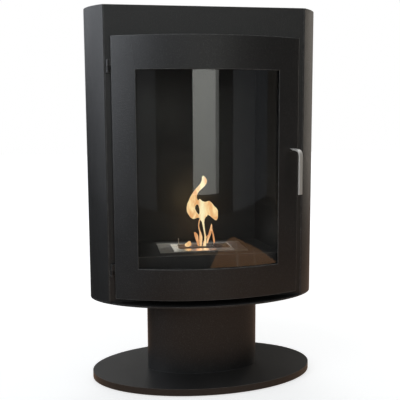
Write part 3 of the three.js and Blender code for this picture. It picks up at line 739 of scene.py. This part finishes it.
def make_flame(name, cool, hot, white_hot, rim_colour, body, thin_rim):
    """Glowing gas: near white inside, orange and thin towards its rim. It lights its surroundings."""
    material, tree, skin = new_material(name)
    place = object_place(tree)
    drawn = add_node(tree, "ShaderNodeMapping", {"Vector": place, "Scale": WISP_STRETCH}).outputs[0]
    wisps = add_noise(tree, drawn, scale=1.0, detail=2, distortion=0.8)
    inner = mix_colours(tree, remap(tree, wisps, WISP_NOISE, FULL_RANGE), cool, hot)
    aside = work_out(tree, "SUBTRACT", one_axis(tree, place, "X"), FLAME_CORE_X)
    core = remap(tree, work_out(tree, "ABSOLUTE", aside, 0.0), FLAME_CORE_REACH, (CORE_SHARE, 0.0))
    inner = mix_colours(tree, core, inner, white_hot)
    turned = add_node(tree, "ShaderNodeLayerWeight", {"Blend": 0.5}).outputs["Facing"]
    inner = mix_colours(tree, remap(tree, turned, BRIGHT_EDGE, (0.0, EDGE_SHARE)), inner, white_hot)
    rim = remap(tree, turned, ORANGE_RIM, FULL_RANGE)
    rays = add_node(tree, "ShaderNodeLightPath").outputs
    mirrored = work_out(tree, "SUBTRACT", rays["Is Glossy Ray"], rays["Is Transmission Ray"])
    as_lamp = work_out(tree, "MAXIMUM", rays["Is Diffuse Ray"], mirrored)
    gain = work_out(tree, "MULTIPLY", as_lamp, FLAME_LIGHT)
    feed(tree, skin.inputs["Base Color"], (0, 0, 0))
    feed(tree, skin.inputs["Roughness"], 1.0)
    feed(tree, skin.inputs["Specular IOR Level"], 0.0)
    feed(tree, skin.inputs["Emission Color"], mix_colours(tree, rim, inner, rim_colour))
    feed(tree, skin.inputs["Emission Strength"], 1.0)  # where the kind of ray isn't known
    feed(tree, skin.inputs["Emission Strength"], work_out(tree, "ADD", gain, FLAME_LOOK))
    feed(tree, skin.inputs["Alpha"], remap(tree, turned, (thin_rim, FADED_OUT), (body, 0.0)))
    return material


full_flame = make_flame(
    "Flame",
    cool=(0.82, 0.42, 0.17),
    hot=(1.0, 0.76, 0.40),
    white_hot=(1.0, 0.90, 0.56),
    rim_colour=(0.92, 0.34, 0.07),
    body=1.0,
    thin_rim=0.82,
)
faint_flame = make_flame(
    "Faint flame",
    cool=(0.72, 0.32, 0.13),
    hot=(1.0, 0.60, 0.30),
    white_hot=(1.0, 0.66, 0.34),
    rim_colour=(0.55, 0.18, 0.05),
    body=0.85,
    thin_rim=0.45,
)

# Each tongue is a stack of level rings, (x, z, half width) in millimetres, from its root to its tip.
TONGUES = {
    "stem": (
        (11.4, 358, 3.1), (12.3, 375, 2.9), (12.1, 387, 2.6), (9.9, 401, 2.3),
        (7.7, 415, 2.6), (6.0, 427, 3.7), (4.3, 434, 6.2), (4.1, 439, 9.4),
        (3.0, 446, 8.2), (2.2, 455, 5.9), (1.4, 463, 5.4), (0.3, 472, 6.5),
        (-0.5, 479, 8.5), (-1.6, 486, 6.2), (-3.3, 492, 1.7),
    ),
    "left_lobe": (
        (-20.5, 436, 2.0), (-18.8, 440, 9.6), (-19.9, 447, 13.8), (-25.5, 456, 13.5),
        (-28.0, 464, 12.1), (-27.9, 471, 11.8), (-23.9, 480, 14.1), (-21.1, 487, 13.2),
        (-21.3, 495, 10.1), (-18.7, 503, 8.2), (-13.6, 512, 7.6), (-6.2, 520, 8.7),
        (2.0, 528, 9.3), (8.2, 536, 8.7), (10.2, 545, 7.3), (8.3, 552, 5.4),
        (6.6, 557, 1.4),
    ),
    "right_lobe": (
        (42.5, 431, 2.0), (40.8, 437, 7.4), (37.4, 443, 11.1), (33.7, 448, 14.8),
        (31.7, 454, 16.8), (29.4, 460, 18.5), (26.6, 466, 17.3), (22.7, 471, 15.3),
        (19.3, 477, 14.8), (20.4, 482, 9.1), (21.9, 486, 2.3),
    ),
    "inner_veil": (
        (14, 441, 2), (13, 447, 7), (12, 455, 9), (11, 464, 9),
        (11, 473, 8), (11, 480, 5), (11, 484, 2),
    ),
    "left_thread": (
        (-0.6, 358, 2.6), (-0.8, 376, 4.8), (-0.4, 385, 4.6), (-1.8, 396, 2.8),
        (-5.1, 407, 1.9), (-6.5, 418, 1.7), (-4.7, 430, 1.9), (-1.3, 438, 2.5),
    ),
    "low_left": (
        (-6.8, 359, 2.6), (-9.0, 370, 3.7), (-11.3, 379, 4.5), (-12.9, 387, 5.4),
        (-14.9, 394, 4.5), (-17.9, 399, 2.3),
    ),
    "low_right": (
        (17.2, 366, 2.6), (20.1, 378, 3.1), (22.9, 386, 3.7), (26.4, 397, 4.3),
        (28.7, 407, 3.7), (29.9, 416, 2.3), (29.6, 422, 0.9),
    ),
    "low_middle": (
        (7.1, 358, 2.3), (10.0, 372, 2.6), (15.2, 384, 2.3), (20.9, 389, 2.0),
        (24.7, 393, 1.7),
    ),
    "low_outer": (
        (37.7, 366, 2.3), (36.6, 377, 2.9), (34.9, 389, 2.3), (32.7, 400, 1.7),
        (31.0, 409, 0.9),
    ),
    "far_left": (
        (-38.1, 358, 4.0), (-36.9, 361, 9.1), (-36.3, 366, 9.6), (-34.0, 370, 5.7),
        (-32.3, 374, 1.7),
    ),
}
# Bridges between the tongues, (x, z, half width), that run sideways.
BRIDGES = {
    "upper_bridge": (
        (-26, 484, 4.0), (-16, 484, 6.0), (-6, 482, 6.5), (6, 479, 6.5),
        (16, 477, 6.0), (24, 474, 4.0),
    ),
    "lower_bridge": (
        (-22, 446, 3.0), (-14, 445, 5.5), (-6, 444, 5.0), (3, 443, 3.0),
    ),
}


def draw_tongue(name, sections, sideways=False):
    """Draws a ring through the sections and closes both ends. On a sideways bridge the rings stand."""
    bpy.ops.object.select_all(action="DESELECT")
    x, z, half = sections[0]
    bpy.ops.mesh.primitive_circle_add(
        vertices=FLAME_SIDES,
        radius=half * MM,
        fill_type="NGON",
        location=(x * MM, FLAME_Y * MM, z * MM),
        rotation=(0, math.radians(90) if sideways else 0, 0),
    )
    piece = bpy.context.object
    piece.name = name
    bpy.ops.object.transform_apply(location=True, rotation=True, scale=True)
    bpy.ops.object.mode_set(mode="EDIT")
    bpy.ops.mesh.select_all(action="SELECT")
    centre = Vector((x * MM, FLAME_Y * MM, z * MM))
    bpy.ops.transform.resize(value=(1, FLAME_FLAT, 1), center_override=centre)
    for next_x, next_z, next_half in sections[1:]:
        step = Vector(((next_x - x) * MM, 0, (next_z - z) * MM))
        bpy.ops.mesh.extrude_region_move(TRANSFORM_OT_translate={"value": step})
        centre = centre + step
        grow = next_half / half
        bpy.ops.transform.resize(value=(grow, grow, grow), center_override=centre)
        x, z, half = next_x, next_z, next_half
    bpy.ops.mesh.select_all(action="SELECT")
    bpy.ops.mesh.normals_make_consistent(inside=False)
    bpy.ops.object.mode_set(mode="OBJECT")
    return piece


def finish_flame(name, pieces, glow):
    """Melts tongues that touch into one soft body and puts it on the burner."""
    choose(*pieces)
    if len(pieces) > 1:
        bpy.ops.object.join()
    flame = bpy.context.object
    flame.name = name
    melt = flame.modifiers.new("Melt", "REMESH")
    melt.mode = "VOXEL"
    melt.voxel_size = MELT_SIZE
    melt.use_smooth_shade = True
    bpy.ops.object.modifier_apply(modifier=melt.name)
    ease = flame.modifiers.new("Ease", "SMOOTH")
    ease.factor = EASE_SHARE
    ease.iterations = EASE_ROUNDS
    bpy.ops.object.modifier_apply(modifier=ease.name)
    bpy.ops.object.shade_smooth()
    flame.data.materials.clear()
    flame.data.materials.append(glow)
    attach(flame, "stove")
    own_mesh(flame)


tongues = {name: draw_tongue(name, sections) for name, sections in TONGUES.items()}
tongues |= {name: draw_tongue(name, sections, sideways=True) for name, sections in BRIDGES.items()}
MAIN_TONGUES = ("stem", "left_lobe", "right_lobe", "inner_veil", "upper_bridge", "lower_bridge")
finish_flame("flame_main", [tongues[name] for name in MAIN_TONGUES], full_flame)
finish_flame("flame_far_left", [tongues["far_left"]], full_flame)
for name in ("left_thread", "low_left", "low_right", "low_middle", "low_outer"):
    finish_flame("flame_" + name, [tongues[name]], faint_flame)


# ---- Studio ----

SKY = (0.90, 0.95, 1.0)
SKY_STRENGTH = 0.36
WHITE = (1, 1, 1)
FLOOR_COLOUR = (0.80, 0.80, 0.79)
FLOOR_HALF = 12
FLOOR_LIFT_AT = (0.5, 2.5)  # distance from the stove, in metres
FLOOR_LIFT = (0.62, 0.88)  # the floor's own glow to the camera at those distances
ROOM = 3.4  # half width of the card room round the stove
FRONT_CARD_Y = -3.2
BACK_CARD_Y = 3.0
CARD_TOP = 3.4
SKYLIGHT_Z = CARD_TOP - 0.01  # just below the ceiling
DOORWAY_Y = -2.5
GLINT_Y = 0.116
# Heights of the cards that lie on the floor, so that none shares its level with another under it.
ROOM_FLOOR_Z = 0.001
WOOD_Z = 0.002
BOARD_EDGE_Z = 0.003

COOL = (0.89, 0.93, 1.0)
PLAIN = (1.0, 0.99, 0.97)
WARM = (1.0, 0.92, 0.82)
WOOD = (1.0, 0.64, 0.44)
LIT_WOOD = (1.0, 0.52, 0.25)
LIT_BOARD_EDGE = (1.0, 0.72, 0.5)
BRIGHT_DOORWAY = (0.98, 1.0, 0.95)
GLINT = (1.0, 1.0, 0.93)

# Outlines on the floor: the lit boards that the glass mirrors as a hill, and the edges of two boards.
WOOD_CORNER = (
    (0.22, -1.57), (0.36, -1.78), (0.59, -2.05), (0.80, -2.18), (0.98, -2.21), (1.10, -2.04),
    (1.25, -1.77), (1.36, -1.50), (1.39, -1.25), (1.41, -1.00), (1.25, -0.80), (0.30, -1.25),
)
BOARD_EDGE_LEFT = ((0.985, -2.09), (1.010, -2.09), (0.740, -1.43), (0.712, -1.43))
BOARD_EDGE_RIGHT = ((1.235, -1.60), (1.255, -1.60), (1.022, -1.23), (1.000, -1.23))


def light_world():
    """Soft light from all round; the camera, gloss and glass see plain white."""
    world = bpy.data.worlds.new("Studio")
    bpy.context.scene.world = world
    world.use_nodes = True
    tree = world.node_tree
    tree.nodes.clear()
    soft = add_node(tree, "ShaderNodeBackground", {"Color": SKY, "Strength": SKY_STRENGTH}).outputs[0]
    white = add_node(tree, "ShaderNodeBackground", {"Color": WHITE, "Strength": 1.0}).outputs[0]
    rays = add_node(tree, "ShaderNodeLightPath").outputs
    seen = work_out(tree, "MAXIMUM", rays["Is Camera Ray"], rays["Is Glossy Ray"])
    seen = work_out(tree, "MAXIMUM", seen, rays["Is Transmission Ray"])
    add_node(tree, "ShaderNodeOutputWorld", {"Surface": mix_shaders(tree, seen, soft, white)})


def add_flat(name, corners, material):
    """A flat stage sheet through its corners, in metres."""
    mesh = bpy.data.meshes.new(name)
    mesh.from_pydata([Vector(corner) for corner in corners], [], [tuple(range(len(corners)))])
    sheet = bpy.data.objects.new(name, mesh)
    bpy.context.scene.collection.objects.link(sheet)
    sheet.data.materials.append(material)
    return sheet


def make_floor():
    """Pale matt floor that reads as white to the camera and keeps the shadow."""
    material, tree, skin = new_material("Pale floor")
    away = length_of(tree, object_place(tree))
    camera_ray = add_node(tree, "ShaderNodeLightPath").outputs["Is Camera Ray"]
    lift = work_out(tree, "MULTIPLY", camera_ray, remap(tree, away, FLOOR_LIFT_AT, FLOOR_LIFT))
    feed(tree, skin.inputs["Base Color"], FLOOR_COLOUR)
    feed(tree, skin.inputs["Roughness"], 0.9)
    feed(tree, skin.inputs["Specular IOR Level"], 0.1)
    feed(tree, skin.inputs["Emission Color"], WHITE)
    feed(tree, skin.inputs["Emission Strength"], lift)
    return material


def make_glow(name, colour, strength, corners, one_sided):
    """A card's glow: even, or from its foot's strength to its top's. A one-sided card's back is clear."""
    material, tree = empty_material(name)
    if isinstance(strength, tuple):
        heights = [corner[2] for corner in corners]
        height = one_axis(tree, object_place(tree), "Z")
        strength = remap(tree, height, (min(heights), max(heights)), strength)
    shown = add_node(tree, "ShaderNodeEmission", {"Color": colour, "Strength": strength}).outputs[0]
    if one_sided:
        seen_from_behind = add_node(tree, "ShaderNodeNewGeometry").outputs["Backfacing"]
        clear = add_node(tree, "ShaderNodeBsdfTransparent").outputs[0]
        shown = mix_shaders(tree, seen_from_behind, shown, clear)
    add_node(tree, "ShaderNodeOutputMaterial", {"Surface": shown})
    return material


def add_card(name, corners, colour, strength, glint=False):
    """A card that only gloss and glass see. A glint is one-sided and isn't seen through the glass."""
    sheet = add_flat(name, corners, make_glow(name, colour, strength, corners, glint))
    sheet.visible_camera = False
    sheet.visible_diffuse = False
    sheet.visible_volume_scatter = False
    sheet.visible_shadow = False
    sheet.visible_transmission = not glint


def add_lamp(name, place, aim, size, power, colour):
    """A soft rectangular lamp."""
    data = bpy.data.lights.new(name, "AREA")
    data.shape = "RECTANGLE"
    data.size, data.size_y = size
    data.energy = power
    data.color = colour
    lamp = bpy.data.objects.new(name, data)
    bpy.context.scene.collection.objects.link(lamp)
    lamp.location = place
    lamp.rotation_euler = (Vector(aim) - Vector(place)).to_track_quat("-Z", "Y").to_euler()
    return lamp


def upright_x(y, left, right, low, high):
    """Corners of an upright card that faces along Y."""
    return ((left, y, low), (right, y, low), (right, y, high), (left, y, high))


def upright_y(x, front, back, low, high):
    """Corners of an upright card that faces along X."""
    return ((x, front, low), (x, back, low), (x, back, high), (x, front, high))


def level(z, left, right, front, back):
    """Corners of a card that lies level."""
    return ((left, front, z), (right, front, z), (right, back, z), (left, back, z))


def lying(z, outline):
    """Corners of a card that lies level inside an outline."""
    return tuple((x, y, z) for x, y in outline)


# Corners, colour and strength of the cards that only gloss and glass see. Together they are a dim room with a
# window on the left.
GLOSS_CARDS = {
    "front_low_left": (upright_x(FRONT_CARD_Y, -ROOM, -1.5, 0, 1.35), COOL, 0.13),
    "front_low": (upright_x(FRONT_CARD_Y, -1.5, 1.4, 0, 1.35), COOL, 0.012),
    "front_low_right": (upright_x(FRONT_CARD_Y, 1.4, ROOM, 0, 1.35), COOL, 0.17),
    "front_high_left": (upright_x(FRONT_CARD_Y, -ROOM, -1.3, 1.35, CARD_TOP), COOL, 1.5),
    "front_high": (upright_x(FRONT_CARD_Y, -1.3, 1.2, 1.35, CARD_TOP), COOL, 0.13),
    "front_high_right": (upright_x(FRONT_CARD_Y, 1.2, ROOM, 1.35, CARD_TOP), WARM, 0.25),
    "left_low": (upright_y(-ROOM, FRONT_CARD_Y, BACK_CARD_Y, 0, 0.9), COOL, 0.05),
    "left_high": (upright_y(-ROOM, FRONT_CARD_Y, 0.0, 0.9, CARD_TOP), COOL, 3.8),
    "left_high_back": (upright_y(-ROOM, 0.0, BACK_CARD_Y, 0.9, CARD_TOP), COOL, (0.5, 5.6)),
    "right_front": (upright_y(ROOM, FRONT_CARD_Y, 0.6, 0, CARD_TOP), WARM, 0.12),
    "right_back": (upright_y(ROOM, 0.6, BACK_CARD_Y, 0, CARD_TOP), WARM, 0.46),
    "back_left_low": (upright_x(BACK_CARD_Y, -ROOM, -1.0, 0, 1.0), COOL, 0.03),
    "back_left_high": (upright_x(BACK_CARD_Y, -ROOM, -2.2, 1.0, CARD_TOP), COOL, (0.2, 2.4)),
    "back_beside_left": (upright_x(BACK_CARD_Y, -2.2, -1.0, 1.0, CARD_TOP), COOL, 0.55),
    "back_middle": (upright_x(BACK_CARD_Y, -1.0, 0.4, 0, CARD_TOP), PLAIN, 0.44),
    "back_right": (upright_x(BACK_CARD_Y, 0.4, 1.6, 0, CARD_TOP), WARM, 0.07),
    "back_far_right": (upright_x(BACK_CARD_Y, 1.6, ROOM, 0, CARD_TOP), WARM, 0.52),
    "ceiling": (level(CARD_TOP, -ROOM, ROOM, FRONT_CARD_Y, BACK_CARD_Y), PLAIN, 0.35),
    "skylight": (level(SKYLIGHT_Z, -1.6, 1.6, -1.0, 0.7), COOL, 4.0),
    "rug": (level(ROOM_FLOOR_Z, -0.5, ROOM, FRONT_CARD_Y, -1.35), PLAIN, 0.06),
    "left_floor": (level(ROOM_FLOOR_Z, -ROOM, -0.5, FRONT_CARD_Y, BACK_CARD_Y), PLAIN, 0.05),
    "wood_floor": (level(ROOM_FLOOR_Z, -0.5, 1.25, -1.35, BACK_CARD_Y), WOOD, 0.5),
    "right_floor": (level(ROOM_FLOOR_Z, 1.25, ROOM, -1.35, 0.3), PLAIN, 0.06),
    "wood_floor_right": (level(ROOM_FLOOR_Z, 1.25, ROOM, 0.3, BACK_CARD_Y), WOOD, 0.25),
    "wood_corner": (lying(WOOD_Z, WOOD_CORNER), LIT_WOOD, 0.64),
    "board_edge_left": (lying(BOARD_EDGE_Z, BOARD_EDGE_LEFT), LIT_BOARD_EDGE, 0.95),
    "board_edge_right": (lying(BOARD_EDGE_Z, BOARD_EDGE_RIGHT), LIT_BOARD_EDGE, 0.95),
    "doorway": (upright_x(DOORWAY_Y, -0.10, 0.54, 0.25, 1.7), BRIGHT_DOORWAY, (1.30, 3.0)),
    "doorway_side": (upright_x(DOORWAY_Y, 0.54, 0.64, 0.25, 1.7), BRIGHT_DOORWAY, (0.6, 1.0)),
}
# The same for the two cards behind the burner, which its bright steel mirrors.
GLINT_CARDS = {
    "burner_glint_left": (upright_x(GLINT_Y, -0.120, -0.045, 0.3625, 0.402), GLINT, 1.15),
    "burner_glint": (upright_x(GLINT_Y, -0.045, 0.115, 0.3625, 0.395), PLAIN, 0.55),
}
# Place, aim, size, power in watts and colour of each lamp.
LAMPS = {
    "left_window": ((-2.12, -1.54, 1.75), (-0.1, -0.1, 0.85), (1.3, 1.5), 12, (0.88, 0.94, 1.0)),
    "right_bounce": ((2.4, 0.9, 1.0), (0.2, 0.0, 0.5), (1.0, 1.6), 6, (1.0, 0.90, 0.78)),
    "back_top": ((0.3, 2.2, 2.6), (0, 0, 0.5), (2.0, 1.2), 16, (1.0, 0.98, 0.95)),
}

light_world()
add_flat("studio_floor", level(0, -FLOOR_HALF, FLOOR_HALF, -FLOOR_HALF, FLOOR_HALF), make_floor())
for card_name, card in GLOSS_CARDS.items():
    add_card(card_name, *card)
for card_name, card in GLINT_CARDS.items():
    add_card(card_name, *card, glint=True)
lamps = {name: add_lamp(name, *settings) for name, settings in LAMPS.items()}
lamps["back_top"].visible_glossy = False

bpy.context.scene.view_settings.view_transform = "Standard"


# ---- Node layout ----

COLUMN_WIDTH = 260
ROW_HEIGHT = 320


def lay_out(tree):
    """Sets the nodes in columns, by the links between each one and the last."""
    column_of = {node.name: 0 for node in tree.nodes}
    for _ in tree.nodes:
        for link in tree.links:
            start, end = link.from_node.name, link.to_node.name
            column_of[start] = max(column_of[start], column_of[end] + 1)
    rows = {}
    for name, column in column_of.items():
        row = rows.get(column, 0)
        tree.nodes[name].location = (-column * COLUMN_WIDTH, -row * ROW_HEIGHT)
        rows[column] = row + 1


material_trees = [material.node_tree for material in bpy.data.materials if material.use_nodes]
for tree in (*bpy.data.node_groups, *material_trees, bpy.context.scene.world.node_tree):
    lay_out(tree)
